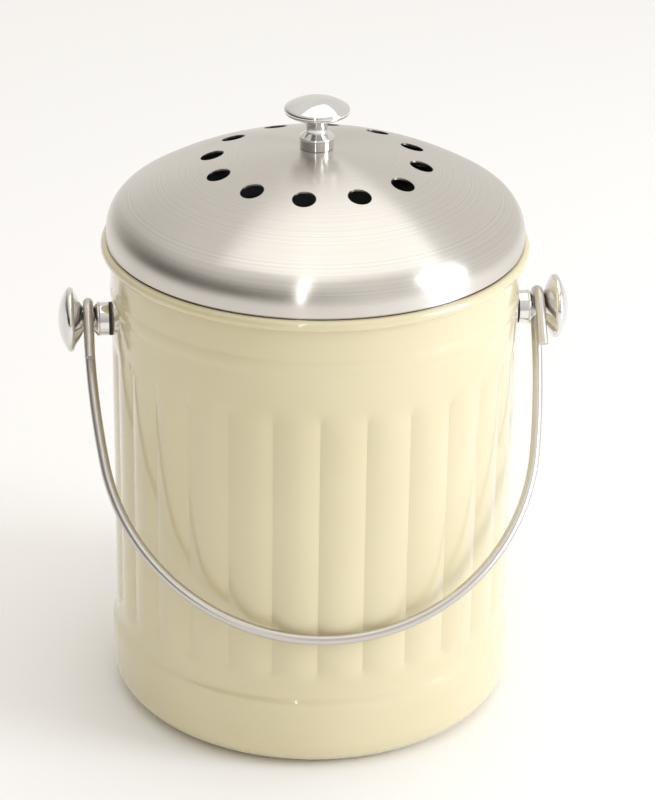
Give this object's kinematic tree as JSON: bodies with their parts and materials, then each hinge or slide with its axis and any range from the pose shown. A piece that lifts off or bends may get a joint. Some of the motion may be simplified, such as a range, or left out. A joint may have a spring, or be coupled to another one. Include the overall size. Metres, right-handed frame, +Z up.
{
  "type": "compost pail",
  "caption": "Ribbed enamelled steel countertop waste pail with a rolled rim, a swinging wire bail on turned knobs and a lift-off vented steel dome lid over a filter pad.",
  "frame": {"origin": "middle of the base, on the plane of the foot ring", "axes": "+Z up; X along the bail's pivots; -Y is the front, where the bail rests"},
  "size_m": [0.2268, 0.1888, 0.2819],
  "materials": {
    "cream_enamel": "gloss enamel",
    "brushed_stainless": "spun and brushed",
    "chrome_plate": "polished",
    "bail_wire": "satin drawn wire",
    "zinc_fixing": "bright zinc",
    "black_rubber": "matt",
    "charcoal_felt": "needled felt"
  },
  "bodies": {
    "pail": {"pail_body": "cream_enamel", "left_pivot_gasket": "black_rubber", "left_pivot_knob": "chrome_plate", "left_pivot_washer": "zinc_fixing", "left_pivot_screw": "zinc_fixing", "right_pivot_gasket": "black_rubber", "right_pivot_knob": "chrome_plate", "right_pivot_washer": "zinc_fixing", "right_pivot_screw": "zinc_fixing"},
    "bail": {"bail_handle": "bail_wire"},
    "lid": {"lid_shell": "brushed_stainless", "lid_locating_ring": "brushed_stainless", "lid_knob": "chrome_plate", "lid_knob_washer": "zinc_fixing", "lid_knob_screw": "zinc_fixing", "charcoal_filter": "charcoal_felt", "filter_clip_1": "brushed_stainless", "filter_clip_2": "brushed_stainless", "filter_clip_3": "brushed_stainless", "filter_clip_4": "brushed_stainless"}
  },
  "joints": [
    {"name": "bail_swing", "type": "hinge", "parent": "pail", "child": "bail", "pos_m": [0, 0, 0.1811], "axis": [-1, 0, 0], "range_deg": [0, 281.6]},
    {"name": "lid_lift", "type": "slide", "parent": "pail", "child": "lid", "axis": [0, 0, 1], "range_m": [0, 0.12]}
  ]
}
